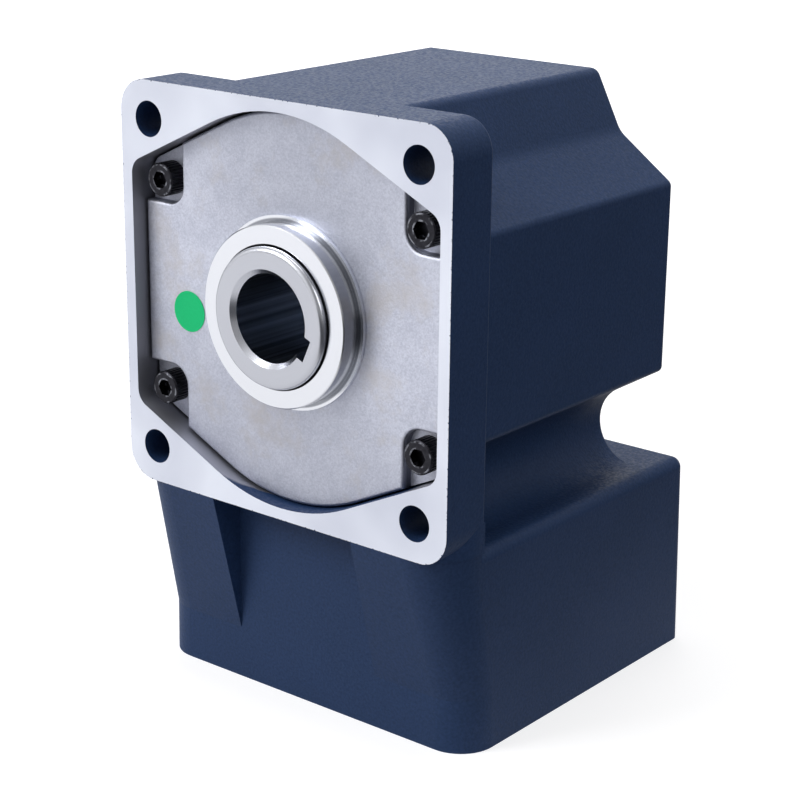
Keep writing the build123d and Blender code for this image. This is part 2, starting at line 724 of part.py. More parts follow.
def make_carrier():
    """Bearing carrier in the roof of the motor chamber: plate below, spigot above."""
    carrier = rod_z(carrier_radius, carrier_bottom, carrier_top)
    carrier += rod_z(carrier_spigot_radius, carrier_top, bevel_bearing_top)
    carrier -= rod_z(bevel_bearing[1] - bearing_shoulder, carrier_bottom - past, bevel_bearing_top + past)
    carrier -= rod_z(bevel_bearing[1], carrier_bottom - past, carrier_bottom + bevel_bearing[2])
    carrier -= rod_z(bevel_bearing[1], bevel_bearing_top - bevel_bearing[2], bevel_bearing_top + past)
    idler_seat_top = carrier_bottom + idler_bearing[2]
    carrier -= rod_z(idler_bearing[1], carrier_bottom - past, idler_seat_top, x=idler_axis_x)
    for x, y in quarter_points(carrier_screw_circle):
        carrier -= rod_z(carrier_hole_radius, carrier_bottom - past, carrier_top + past, x, y)
    return Pos(0, motor_axis_y, 0) * carrier


def make_motor_plate():
    """Closing plate inside the motor pilot, with the motor pinion's entry and a bearing seat."""
    plate = rod_z(plate_seat_radius - motor_plate_gap, motor_plate_bottom, motor_plate_top)
    plate -= rod_z(motor_pinion_hole_radius, motor_plate_bottom - past, motor_plate_top + past)
    idler_seat_foot = motor_plate_top - idler_bearing[2]
    plate -= rod_z(idler_bearing[1], idler_seat_foot, motor_plate_top + past, x=idler_axis_x)
    head_depth = plate_screw_head_radius - plate_screw_radius
    for x, y in quarter_points(plate_screw_circle):
        plate -= rod_z(plate_tap_radius, motor_plate_bottom - past, motor_plate_top + past, x, y)
        sink = Cone(plate_screw_head_radius + tapped_hole_gap, plate_tap_radius, head_depth)
        plate -= Pos(x, y, motor_plate_bottom + head_depth / 2) * sink
    return Pos(0, motor_axis_y, 0) * plate


def make_motor_gasket():
    """Paper gasket ring between the closing plate and its shoulder."""
    outline = Circle(plate_seat_radius - motor_plate_gap) - Circle(lower_chamber_radius)
    outline -= Pos(idler_axis_x, 0) * Circle(first_gear_room)
    for x, y in quarter_points(plate_screw_circle):
        outline -= Pos(x, y) * Circle(plate_tap_radius)
    return along_z(Pos(0, motor_axis_y) * outline, motor_plate_top, motor_seat)


def make_idler_shaft():
    """Upright idler shaft with its pinion cut on it, a gap facing the bevel pinion shaft."""
    shaft = rod_z(idler_shaft_radius, idler_shaft_bottom, idler_shaft_top)
    shaft += rod_z(first_gear_seat_radius, first_gear_bottom, idler_pinion_bottom + past)
    pinion = spur_wheel(idler_module, idler_pinion_teeth, idler_pinion_width)
    shaft += Pos(0, 0, idler_pinion_bottom) * pinion
    return Pos(idler_axis_x, motor_axis_y, 0) * shaft


def make_first_gear():
    """Wheel pressed on the idler shaft; the motor's pinion drives it."""
    wheel = spur_wheel(idler_module, first_gear_teeth, first_gear_width, first_gear_seat_radius)
    return Pos(idler_axis_x, motor_axis_y, first_gear_bottom) * wheel


def make_second_gear():
    """Wheel keyed to the lower end of the bevel pinion shaft."""
    wheel = spur_wheel(idler_module, second_gear_teeth, second_gear_width, second_gear_seat_radius)
    slot = Pos(0, -second_gear_seat_radius, second_gear_width / 2)
    wheel -= slot * Box(second_key_width, second_key_width, second_gear_width)
    return Pos(0, motor_axis_y, second_gear_bottom) * wheel


def make_second_key():
    middle = (second_gear_bottom + second_gear_top) / 2
    centre = Pos(0, motor_axis_y - second_gear_seat_radius, middle)
    return centre * Box(second_key_width, second_key_width, second_gear_width)


cover_screw = socket_screw(cover_screw_radius, cover_screw_head_radius, cover_screw_head_height,
                           cover_screw_length, cover_screw_socket)
carrier_screw = socket_screw(carrier_screw_radius, carrier_screw_head_radius, carrier_screw_head_height,
                             carrier_screw_length, carrier_screw_socket)
plate_screw = countersunk_screw(plate_screw_radius, plate_screw_head_radius, plate_screw_length)
cover_points = corners(screw_half_spacing_x, screw_half_spacing_z)
cover_screw_places = [facing_y(notch_floor, x, z) for x, z in cover_points]
carrier_points = quarter_points(carrier_screw_circle)
carrier_screw_places = [Pos(x, y + motor_axis_y, carrier_bottom) for x, y in carrier_points]
plate_points = quarter_points(plate_screw_circle)
plate_screw_places = [Pos(x, y + motor_axis_y, motor_plate_bottom) for x, y in plate_points]

front_output_seat = facing_y(front_bearing_front)
rear_output_seat = facing_y(rear_bearing_front)
front_cross_seat = facing_y(cross_front_bearing_front, z=cross_axis_z)
rear_cross_seat = facing_y(cross_rear_bearing_front, z=cross_axis_z)
lower_bevel_seat = Pos(0, motor_axis_y, carrier_bottom)
upper_bevel_seat = Pos(0, motor_axis_y, bevel_bearing_top - bevel_bearing[2])
lower_idler_seat = Pos(idler_axis_x, motor_axis_y, motor_plate_top - idler_bearing[2])
upper_idler_seat = Pos(idler_axis_x, motor_axis_y, carrier_bottom)

parts = {
    "housing": make_housing(),
    "front_cover": make_cover(),
    "cover_gasket": make_cover_gasket(),
    "cover_screws": Compound(children=[place * cover_screw for place in cover_screw_places]),
    "inspection_mark": rod_y(mark_radius, cover_face - mark_thickness, cover_face, mark_x, -mark_drop),
    "front_oil_seal": facing_y(front_seal_start) * oil_seal(
        front_seal_radius, shaft_radius + seal_lip_gap, front_seal_width),
    "rear_oil_seal": Pos(0, rear_seal_back, 0) * Rot(90, 0, 0) * oil_seal(
        rear_seal_radius, shaft_radius + seal_lip_gap, rear_seal_width),
    "output_bearing_front_outer": front_output_seat * outer_race(output_bearing),
    "output_bearing_rear_outer": rear_output_seat * outer_race(output_bearing),
    "cross_bearing_front_outer": front_cross_seat * outer_race(cross_front_bearing),
    "cross_bearing_rear_outer": rear_cross_seat * outer_race(cross_rear_bearing),
    "cross_bore_circlip": facing_y(cross_clip_front, z=cross_axis_z) * circlip(
        cross_rear_bearing[1] - circlip_height, cross_rear_bearing[1]),
    "cross_bore_plug": rod_y(cross_rear_bearing[1], plug_front, case_rear, z=cross_axis_z),
    "bearing_carrier": make_carrier(),
    "carrier_screws": Compound(children=[place * carrier_screw for place in carrier_screw_places]),
    "bevel_bearing_lower_outer": lower_bevel_seat * outer_race(bevel_bearing),
    "bevel_bearing_upper_outer": upper_bevel_seat * outer_race(bevel_bearing),
    "idler_bearing_lower_outer": lower_idler_seat * outer_race(idler_bearing),
    "idler_bearing_upper_outer": upper_idler_seat * outer_race(idler_bearing),
    "motor_side_plate": make_motor_plate(),
    "motor_side_gasket": make_motor_gasket(),
    "plate_screws": Compound(children=[place * plate_screw for place in plate_screw_places]),

    "hollow_shaft": make_hollow_shaft(),
    "output_gear": make_output_gear(),
    "output_gear_key": make_output_key(),
    "output_sleeve": facing_y(cover_back) * tube(
        shaft_radius + output_sleeve_wall, shaft_radius, output_gear_front - cover_back),
    "output_bearing_front_inner": front_output_seat * inner_race(output_bearing),
    "output_bearing_rear_inner": rear_output_seat * inner_race(output_bearing),

    "cross_pinion_shaft": make_cross_shaft(),
    "bevel_gear": make_bevel_gear(),
    "bevel_gear_key": make_cross_key(),
    "cross_front_sleeve": facing_y(cross_pinion_rear, z=cross_axis_z) * tube(
        cross_sleeve_radius, cross_rear_bearing[0], bevel_hub_front - cross_pinion_rear),
    "cross_rear_sleeve": facing_y(bevel_hub_rear, z=cross_axis_z) * tube(
        cross_sleeve_radius, cross_rear_bearing[0], cross_rear_bearing_front - bevel_hub_rear),
    "cross_bearing_front_inner": front_cross_seat * inner_race(cross_front_bearing),
    "cross_bearing_rear_inner": rear_cross_seat * inner_race(cross_rear_bearing),

    "bevel_pinion_shaft": make_bevel_pinion_shaft(),
    "second_gear": make_second_gear(),
    "second_gear_key": make_second_key(),
    "second_gear_circlip": Pos(0, motor_axis_y, second_gear_bottom - circlip_thickness) * circlip(
        second_gear_seat_radius, second_gear_seat_radius + circlip_height),
    "bevel_shaft_sleeve": Pos(0, motor_axis_y, carrier_bottom + bevel_bearing[2]) * tube(
        bevel_sleeve_radius, bevel_shaft_radius, bevel_bearing_spacing - bevel_bearing[2]),
    "bevel_bearing_lower_inner": lower_bevel_seat * inner_race(bevel_bearing),
    "bevel_bearing_upper_inner": upper_bevel_seat * inner_race(bevel_bearing),

    "idler_pinion_shaft": make_idler_shaft(),
    "first_gear": make_first_gear(),
    "idler_bearing_lower_inner": lower_idler_seat * inner_race(idler_bearing),
    "idler_bearing_upper_inner": upper_idler_seat * inner_race(idler_bearing),
}

for node, shape in parts.items():
    export_step(shape, f"parts/{node}.step")
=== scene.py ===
from math import cos, pi, radians, sin

import bpy
from mathutils import Matrix, Vector

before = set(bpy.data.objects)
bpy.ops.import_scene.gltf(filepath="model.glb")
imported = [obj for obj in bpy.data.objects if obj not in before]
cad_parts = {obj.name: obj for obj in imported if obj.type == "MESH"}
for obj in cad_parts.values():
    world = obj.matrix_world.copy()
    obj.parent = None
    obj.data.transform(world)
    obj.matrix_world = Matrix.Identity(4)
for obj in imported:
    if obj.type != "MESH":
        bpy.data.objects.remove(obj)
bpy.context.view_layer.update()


# Housing: one aluminium casting with its square mounting flange, gear case and motor end.
# It is powder coated navy all over, then milled bright on the flange face and the motor face.
# The round pocket in the flange stays as cast.
MM = 0.001


def linear(code):
    """Turn an sRGB hex colour into the linear colour that Blender's sockets take."""
    levels = [int(code[i:i + 2], 16) / 255 for i in (0, 2, 4)]
    return [v / 12.92 if v <= 0.04045 else ((v + 0.055) / 1.055) ** 2.4 for v in levels] + [1.0]


def add(material, kind, links=None, out=0, **settings):
    """Add one shader node and give back its output.

    Settings are the node's own fields, links give its sockets a value or a source, and out
    names the output, or all of them where it is a slice. Some sockets go by number: a Mix has
    its share in 0, its numbers in 2 and 3 and its colours in 6 and 7, and a Map Range takes
    the span from 1 to 2 over to the span from 3 to 4.
    """
    made = material.node_tree.nodes.new("ShaderNode" + kind)
    for field, value in settings.items():
        setattr(made, field, value)
    for socket, source in (links or {}).items():
        if isinstance(source, bpy.types.NodeSocket):
            material.node_tree.links.new(source, made.inputs[socket])
        else:
            made.inputs[socket].default_value = source
    return made.outputs[out]


def new_material(name, **sockets):
    """Start a material whose shader sockets hold the values that are the same everywhere."""
    material = bpy.data.materials.new(name)
    material.use_nodes = True
    shader = material.node_tree.nodes["Principled BSDF"]
    for socket, value in sockets.items():
        shader.inputs[socket.replace("_", " ")].default_value = value
    return material


def drive(material, **sources):
    """Join node outputs to the shader's sockets."""
    shader = material.node_tree.nodes["Principled BSDF"]
    for socket, source in sources.items():
        material.node_tree.links.new(source, shader.inputs[socket.replace("_", " ")])


def finish_node(name, material):
    """Give a piece of the frame its material in place of the plain one."""
    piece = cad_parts[name]
    piece.data.materials.clear()
    piece.data.materials.append(material)


flange_half = 52 * MM
flange_corner = 8 * MM
milled_depth = 0.06 * MM
milled_end = -flange_half - 0.05 * MM
pocket_radius = 49.3 * MM
pocket_half_width = 49.1 * MM
pocket_flank = radians(25.6)
pocket_depth = 14.5 * MM
pocket_wall_end = 14.1 * MM
# Where the painted shade on the pocket wall starts and where it is full.
pocket_shade_start, pocket_shade_end = 1 * MM, 11 * MM
paint_edge = -16 * MM
paint_edge_softness = 1 * MM
paint_slant = -2.2
paint_top = -36 * MM
motor_face = -104.94 * MM
motor_pilot = 41.6 * MM
motor_pilot_top = -75 * MM
motor_axis = (0, 58.525 * MM, 0)
across_z = (1, 1, 0)

coat_dark, coat_light = linear("1E3456"), linear("283E65")
milled_dark, milled_light = linear("D0D4E1"), linear("E4E8F3")
# Bare cast metal, and the same metal coloured darker as painted shade deep in the pocket.
cast_unshaded, cast_shaded = linear("A6A7AF"), linear("5C5E68")

peel_size = 0.7 * MM
peel_relief = 0.07 * MM
cloud_size = 30 * MM
chip_size = 0.8 * MM
chip_reach = 0.4 * MM
brush_size = 7 * MM
brush_reach = 6 * MM
grain_size = 0.9 * MM
arc_spacing = 0.6 * MM
cutter_centre = (-90 * MM, 0, -160 * MM)

# Powder coat: satin navy with a fine orange peel of about 0.7 mm that breaks up its sheen.
# The bare metal under it shows where the casting was milled or masked.
coat = new_material("powder_coated_cast_aluminium", IOR=1.5, Specular_IOR_Level=0.22)
place = add(coat, "TexCoord", out="Object")
x, y, z = add(coat, "SeparateXYZ", {0: place}, out=slice(None))
across = add(coat, "Math", {0: x}, operation="ABSOLUTE")
height = add(coat, "Math", {0: z}, operation="ABSOLUTE")
peel = add(coat, "TexNoise", {"Vector": place, "Scale": 1 / peel_size, "Detail": 3.0,
                              "Roughness": 0.55})
cloud = add(coat, "TexNoise", {"Vector": place, "Scale": 1 / cloud_size, "Detail": 2.0})
chips = add(coat, "TexNoise", {"Vector": place, "Scale": 1 / chip_size, "Detail": 2.0,
                               "Roughness": 0.7})
brush = add(coat, "TexNoise", {"Vector": place, "Scale": 1 / brush_size, "Detail": 3.0})

# The flange face is bright up to its edge, where the coat overlaps it in small ragged chips.
in_face = add(coat, "Math", {0: y, 1: milled_depth}, operation="LESS_THAN")
above_neck = add(coat, "Math", {0: z, 1: milled_end}, operation="GREATER_THAN")
past_corner = []
for side in (across, height):
    past = add(coat, "Math", {0: side, 1: flange_half - flange_corner}, operation="SUBTRACT")
    past_corner.append(add(coat, "Math", {0: past, 1: 0.0}, operation="MAXIMUM"))
corner = add(coat, "CombineXYZ", {0: past_corner[0], 1: past_corner[1]})
from_edge = add(coat, "VectorMath", {0: corner}, operation="LENGTH", out="Value")
chip_depth = add(coat, "MapRange", {"Value": chips, 1: 0.56, 2: 0.74, 3: flange_corner,
                                    4: flange_corner - chip_reach})
clear_of_chips = add(coat, "Math", {0: from_edge, 1: chip_depth}, operation="LESS_THAN")
milled_front = add(coat, "Math", {0: in_face, 1: clear_of_chips}, operation="MULTIPLY")
milled_front = add(coat, "Math", {0: milled_front, 1: above_neck}, operation="MULTIPLY")

# The pocket lies inside a circle, between two straight sides and four slanted flanks.
flank_x = add(coat, "Math", {0: across, 1: sin(pocket_flank)}, operation="MULTIPLY")
flank = add(coat, "Math", {0: height, 1: cos(pocket_flank), 2: flank_x},
            operation="MULTIPLY_ADD")
pocket = 1.0
for reach, limit in ((flank, pocket_radius), (height, pocket_radius),
                     (across, pocket_half_width), (y, pocket_depth)):
    inside = add(coat, "Math", {0: reach, 1: limit}, operation="LESS_THAN")
    pocket = add(coat, "Math", {0: pocket, 1: inside}, operation="MULTIPLY")
# Paint has run over the lower right part of its wall, and further left near its mouth.
ragged = add(coat, "Math", {0: brush, 1: brush_reach, 2: x}, operation="MULTIPLY_ADD")
ragged = add(coat, "Math", {0: y, 1: paint_slant, 2: ragged}, operation="MULTIPLY_ADD")
right_part = add(coat, "MapRange", {"Value": ragged, 1: paint_edge - paint_edge_softness,
                                    2: paint_edge + paint_edge_softness})
lower_part = add(coat, "Math", {0: z, 1: paint_top}, operation="LESS_THAN")
painted = add(coat, "Math", {0: right_part, 1: lower_part}, operation="MULTIPLY")
unpainted = add(coat, "Math", {0: 1.0, 1: painted}, operation="SUBTRACT")
pocket = add(coat, "Math", {0: pocket, 1: unpainted}, operation="MULTIPLY")

# The motor face is milled too, and the bore of the motor's pilot is bare.
milled_below = add(coat, "Math", {0: z, 1: motor_face}, operation="LESS_THAN")
from_axis = add(coat, "VectorMath", {0: place, 1: motor_axis}, operation="SUBTRACT")
from_axis = add(coat, "VectorMath", {0: from_axis, 1: across_z}, operation="MULTIPLY")
motor_radius = add(coat, "VectorMath", {0: from_axis}, operation="LENGTH", out="Value")
in_pilot = add(coat, "Math", {0: motor_radius, 1: motor_pilot}, operation="LESS_THAN")
low = add(coat, "Math", {0: z, 1: motor_pilot_top}, operation="LESS_THAN")
in_pilot = add(coat, "Math", {0: in_pilot, 1: low}, operation="MULTIPLY")

milled = add(coat, "Math", {0: milled_front, 1: milled_below}, operation="MAXIMUM")
bare = add(coat, "Math", {0: pocket, 1: in_pilot}, operation="MAXIMUM")
metal = add(coat, "Math", {0: milled, 1: bare}, operation="MAXIMUM")

coat_tone = add(coat, "Mix", {0: 0.75, 2: cloud, 3: peel})
coat_tone = add(coat, "MapRange", {"Value": coat_tone, 1: 0.35, 2: 0.65})
coat_colour = add(coat, "Mix", {0: coat_tone, 6: coat_dark, 7: coat_light}, out=2,
                  data_type="RGBA")
worn = add(coat, "MapRange", {"Value": cloud, 1: 0.35, 2: 0.65})
milled_colour = add(coat, "Mix", {0: worn, 6: milled_dark, 7: milled_light}, out=2,
                    data_type="RGBA")
# Painted shade deep in the pocket: its wall is coloured darker away from the mouth, its seat
# isn't.
pocket_shade = add(coat, "MapRange", {"Value": y, 1: pocket_shade_start, 2: pocket_shade_end})
before_seat = add(coat, "Math", {0: y, 1: pocket_wall_end}, operation="LESS_THAN")
pocket_shade = add(coat, "Math", {0: pocket_shade, 1: before_seat}, operation="MULTIPLY")
bare_colour = add(coat, "Mix", {0: pocket_shade, 6: cast_unshaded, 7: cast_shaded}, out=2,
                  data_type="RGBA")
metal_colour = add(coat, "Mix", {0: milled, 6: bare_colour, 7: milled_colour}, out=2,
                   data_type="RGBA")
surface_colour = add(coat, "Mix", {0: metal, 6: coat_colour, 7: metal_colour}, out=2,
                     data_type="RGBA")

# Milling leaves shallow arcs about 0.6 mm apart across the flange face.
sweep = add(coat, "VectorMath", {0: place, 1: cutter_centre}, operation="SUBTRACT")
arcs = add(coat, "TexWave", {"Vector": sweep, "Scale": 2 * pi / (20 * arc_spacing),
                             "Distortion": 0.6, "Detail": 1.0},
           wave_type="RINGS", rings_direction="Y", out="Fac")
milled_rough = add(coat, "MapRange", {"Value": arcs, 3: 0.30, 4: 0.36})
bare_rough = add(coat, "MapRange", {"Value": milled, 3: 0.55, 4: milled_rough})
# Fine grains in the powder make its sheen sparkle. Dust makes them stand out on faces that
# look up.
grains = add(coat, "TexNoise", {"Vector": place, "Scale": 1 / grain_size, "Detail": 2.0,
                                "Roughness": 0.7})
facing = add(coat, "TexCoord", out="Normal")
upward = add(coat, "SeparateXYZ", {0: facing}, out=2)
smoothest = add(coat, "MapRange", {"Value": upward, 1: 0.6, 2: 0.95, 3: 0.53, 4: 0.48})
roughest = add(coat, "MapRange", {"Value": upward, 1: 0.6, 2: 0.95, 3: 0.59, 4: 0.67})
coat_rough = add(coat, "MapRange", {"Value": grains, 1: 0.40, 2: 0.60, 3: smoothest,
                                    4: roughest})
surface_rough = add(coat, "Mix", {0: metal, 2: coat_rough, 3: bare_rough})
peel_strength = add(coat, "MapRange", {"Value": metal, 3: 1.0, 4: 0.03})
relief = add(coat, "Bump", {"Strength": peel_strength, "Distance": peel_relief,
                            "Height": peel})
drive(coat, Base_Color=surface_colour, Metallic=metal, Roughness=surface_rough,
      Normal=relief)
finish_node("housing", coat)


# Front cover: an aluminium casting, bead blasted, that closes the gear case over the output
# gear. Its round boss is turned after blasting, so it is bright and carries fine rings.
boss_lip = 24.05 * MM
boss_back = 4.05 * MM
boss_corner = 22.85 * MM
notch_wall = 4.9 * MM
# Depth at which the painted shade on the notch walls is full.
notch_shade_depth = 5.8 * MM
notch_wall_end = 7.2 * MM
across_y = (1, 0, 1)
dimple_size = 0.5 * MM
dimple_relief = 0.1 * MM
stain_size = 9 * MM
handled_size = 16 * MM
feed_spacing = 0.5 * MM
# How far the painted shade in the corner of the boss reaches.
corner_shade_core, corner_shade_end = 0.25 * MM, 0.6 * MM
blasted_dark, blasted_light = linear("B1B4C2"), linear("C8CBD7")
handled_tint = linear("B6B2B2")
# Colour that paints shade on the notch walls.
notch_shade_tint = linear("5C5E68")
# Turned metal, bright, and the same coloured darker as painted shade in the boss's corner.
turned_bright, turned_shaded = linear("E6E8EE"), linear("5E626C")

blasted = new_material("bead_blasted_and_turned_aluminium", Metallic=1.0, Anisotropic=0.4)
place = add(blasted, "TexCoord", out="Object")
depth = add(blasted, "SeparateXYZ", {0: place}, out=1)
flat = add(blasted, "VectorMath", {0: place, 1: across_y}, operation="MULTIPLY")
radius = add(blasted, "VectorMath", {0: flat}, operation="LENGTH", out="Value")
near = add(blasted, "Math", {0: radius, 1: boss_lip}, operation="LESS_THAN")
ahead = add(blasted, "Math", {0: depth, 1: boss_back}, operation="LESS_THAN")
turned = add(blasted, "Math", {0: near, 1: ahead}, operation="MULTIPLY")
# Glass beads of about 0.25 mm leave dimples; they are drawn 0.5 mm wide so that they show.
dimples = add(blasted, "TexNoise", {"Vector": place, "Scale": 1 / dimple_size,
                                    "Detail": 3.0, "Roughness": 0.6})
stains = add(blasted, "TexNoise", {"Vector": place, "Scale": 1 / stain_size,
                                   "Detail": 5.0, "Roughness": 0.65})
# The lathe tool's feed of 0.15 mm is drawn at 0.5 mm.
feed = add(blasted, "Math", {0: radius, 1: 1 / feed_spacing}, operation="MULTIPLY")
feed = add(blasted, "TexNoise", {"W": feed, "Scale": 1.0, "Detail": 2.0},
           noise_dimensions="1D")
tone = add(blasted, "Mix", {0: 0.65, 2: stains, 3: dimples})
tone = add(blasted, "MapRange", {"Value": tone, 1: 0.38, 2: 0.62})
cast_colour = add(blasted, "Mix", {0: tone, 6: blasted_dark, 7: blasted_light}, out=2,
                  data_type="RGBA")
# Oil from handling has left faint warm patches.
handled = add(blasted, "TexNoise", {"Vector": place, "Scale": 1 / handled_size,
                                    "Detail": 4.0, "Roughness": 0.7})
handled = add(blasted, "MapRange", {"Value": handled, 1: 0.52, 2: 0.7, 3: 0.0, 4: 0.6})
cast_colour = add(blasted, "Mix", {0: handled, 6: cast_colour, 7: handled_tint}, out=2,
                  data_type="RGBA")
# Painted shade on the walls of the notches that hold the screws: they are coloured darker, but
# not their floors.
notch_shade = add(blasted, "MapRange", {"Value": depth, 1: notch_wall, 2: notch_shade_depth,
                                 3: 0.0, 4: 0.75})
above_floor = add(blasted, "Math", {0: depth, 1: notch_wall_end}, operation="LESS_THAN")
notch_shade = add(blasted, "Math", {0: notch_shade, 1: above_floor}, operation="MULTIPLY")
cast_colour = add(blasted, "Mix", {0: notch_shade, 6: cast_colour, 7: notch_shade_tint}, out=2,
                  data_type="RGBA")
# Painted shade in the corner between the boss and its lip: the turned metal is coloured darker
# there.
from_corner = add(blasted, "Math", {0: radius, 1: boss_corner}, operation="SUBTRACT")
from_corner = add(blasted, "Math", {0: from_corner}, operation="ABSOLUTE")
corner_shade = add(blasted, "MapRange", {"Value": from_corner, 1: corner_shade_core, 2: corner_shade_end,
                                  3: 0.75, 4: 0.0})
turned_colour = add(blasted, "Mix", {0: corner_shade, 6: turned_bright, 7: turned_shaded}, out=2,
                    data_type="RGBA")
cover_colour = add(blasted, "Mix", {0: turned, 6: cast_colour, 7: turned_colour}, out=2,
                   data_type="RGBA")
turned_rough = add(blasted, "MapRange", {"Value": feed, 1: 0.3, 2: 0.7, 3: 0.17, 4: 0.22})
cast_rough = add(blasted, "MapRange", {"Value": dimples, 1: 0.3, 2: 0.7, 3: 0.48, 4: 0.60})
cover_rough = add(blasted, "Mix", {0: turned, 2: cast_rough, 3: turned_rough})
cover_height = add(blasted, "Mix", {0: turned, 2: dimples, 3: feed})
strength = add(blasted, "MapRange", {"Value": turned, 3: 0.6, 4: 0.015})
relief = add(blasted, "Bump", {"Strength": strength, "Distance": dimple_relief,
                               "Height": cover_height})
# The tool's rings run round the shaft's axis, so highlights stretch across them.
round_axis = add(blasted, "Tangent", direction_type="RADIAL", axis="Y")
drive(blasted, Base_Color=cover_colour, Roughness=cover_rough, Normal=relief,
      Tangent=round_axis)
finish_node("front_cover", blasted)


# Gaskets: compressed fibre sheet, cut to the outline of the joint that it seals.
# The fibres give a soft mottle.
def mottle(material, size, colours, rough, relief, detail, fineness=0.5, contrast=(0.0, 1.0)):
    """Let one noise vary a material's colour and roughness and raise its surface.

    Size is the noise's in metres, colours and rough are what its low and high parts get over
    the contrast, and relief is the bump's strength and its distance.
    """
    spot = add(material, "TexCoord", out="Object")
    noise = add(material, "TexNoise", {"Vector": spot, "Scale": 1 / size, "Detail": detail,
                                       "Roughness": fineness})
    dark, light = colours
    colour = add(material, "Mix", {0: noise, 6: linear(dark), 7: linear(light)}, out=2,
                 data_type="RGBA")
    sheen = add(material, "MapRange", {"Value": noise, 1: contrast[0], 2: contrast[1],
                                       3: rough[0], 4: rough[1]})
    raised = add(material, "Bump", {"Strength": relief[0], "Distance": relief[1],
                                    "Height": noise})
    drive(material, Base_Color=colour, Roughness=sheen, Normal=raised)


fibre = new_material("compressed_fibre_sheet")
mottle(fibre, 1.5 * MM, ("4E5A55", "7C857E"), (0.75, 0.9), (0.3, 0.1 * MM), 5.0, 0.7)
for name in ("cover_gasket", "motor_side_gasket"):
    finish_node(name, fibre)


# Screws: alloy steel, cold headed and blackened in hot oxide salts, then oiled.
# The oil gives a soft dark sheen that varies along each head.
film_size = 1.2 * MM
film_rough = (0.28, 0.45)
film_contrast = (0.3, 0.7)
black_oxide = new_material("black_oxide_steel", Metallic=1.0)
mottle(black_oxide, film_size, ("1E1E22", "46464C"), film_rough, (0.2, 0.05 * MM), 4.0, 0.6,
       film_contrast)
for name in ("carrier_screws", "plate_screws"):
    finish_node(name, black_oxide)

# The cover's cap screws have knurled heads: 32 ridges round each, drawn as a wave by angle.
screw_x = 41.4 * MM
screw_z = 27.0 * MM
ridge_count = 32
ridge_relief = 0.15 * MM
knurl_start = 4.2 * MM
rim_radius = 3.8 * MM
socket_edge = 2.3 * MM
# Half the width of the painted highlight rings.
highlight_half_width = 0.2 * MM
patch_size = 2.2 * MM
film_dark, film_light = linear("1A1A1E"), linear("3E3E44")
# Light grey that paints the highlight on the rim and round the socket.
highlight_tint = linear("80828A")
knurled = new_material("knurled_black_oxide_steel", Metallic=1.0)
place = add(knurled, "TexCoord", out="Object")
x, y, z = add(knurled, "SeparateXYZ", {0: place}, out=slice(None))
from_x = add(knurled, "Math", {0: x}, operation="ABSOLUTE")
from_x = add(knurled, "Math", {0: from_x, 1: screw_x}, operation="SUBTRACT")
from_z = add(knurled, "Math", {0: z}, operation="ABSOLUTE")
from_z = add(knurled, "Math", {0: from_z, 1: screw_z}, operation="SUBTRACT")
angle = add(knurled, "Math", {0: from_z, 1: from_x}, operation="ARCTAN2")
ridges = add(knurled, "Math", {0: angle, 1: ridge_count}, operation="MULTIPLY")
ridges = add(knurled, "Math", {0: ridges}, operation="SINE")
from_centre = add(knurled, "CombineXYZ", {0: from_x, 1: from_z})
from_centre = add(knurled, "VectorMath", {0: from_centre}, operation="LENGTH", out="Value")
on_side = add(knurled, "Math", {0: from_centre, 1: knurl_start}, operation="GREATER_THAN")
knurl = add(knurled, "Math", {0: ridges, 1: on_side}, operation="MULTIPLY")
# Painted highlight, in patches, on the rolled rim and round the socket: the head is coloured
# lighter there.
rim = add(knurled, "Math", {0: from_centre, 1: rim_radius, 2: highlight_half_width},
          operation="COMPARE")
edge = add(knurled, "Math", {0: from_centre, 1: socket_edge, 2: highlight_half_width},
           operation="COMPARE")
ring_highlight = add(knurled, "Math", {0: rim, 1: edge}, operation="MAXIMUM")
patches = add(knurled, "TexNoise", {"Vector": place, "Scale": 1 / patch_size, "Detail": 2.0})
patches = add(knurled, "MapRange", {"Value": patches, 1: 0.48, 2: 0.6})
ring_highlight = add(knurled, "Math", {0: ring_highlight, 1: patches}, operation="MULTIPLY")
film = add(knurled, "TexNoise", {"Vector": place, "Scale": 1 / film_size, "Detail": 4.0,
                                 "Roughness": 0.6})
film_colour = add(knurled, "Mix", {0: film, 6: film_dark, 7: film_light}, out=2,
                  data_type="RGBA")
head_colour = add(knurled, "Mix", {0: ring_highlight, 6: film_colour, 7: highlight_tint}, out=2,
                  data_type="RGBA")
head_rough = add(knurled, "MapRange", {"Value": film, 1: film_contrast[0],
                                       2: film_contrast[1], 3: film_rough[0],
                                       4: film_rough[1]})
relief = add(knurled, "Bump", {"Strength": 0.8, "Distance": ridge_relief, "Height": knurl})
drive(knurled, Base_Color=head_colour, Roughness=head_rough, Normal=relief)
finish_node("cover_screws", knurled)


# Inspection mark: a plain round sticker on the cover, left of the shaft.
# Printed vinyl, slightly glossy and faintly uneven where it follows the blasted metal.
vinyl = new_material("printed_green_vinyl", IOR=1.5, Specular_IOR_Level=0.2)
mottle(vinyl, 0.8 * MM, ("10CE7E", "1CD888"), (0.38, 0.48), (0.12, 0.05 * MM), 3.0)
finish_node("inspection_mark", vinyl)


# Oil seals: moulded nitrile rubber lips that close the case round the hollow shaft.
# Matt black with a faint bloom.
rubber = new_material("moulded_nitrile_rubber", IOR=1.52)
mottle(rubber, 3 * MM, ("121214", "232326"), (0.55, 0.75), (0.1, 0.05 * MM), 4.0)
for name in ("front_oil_seal", "rear_oil_seal"):
    finish_node(name, rubber)


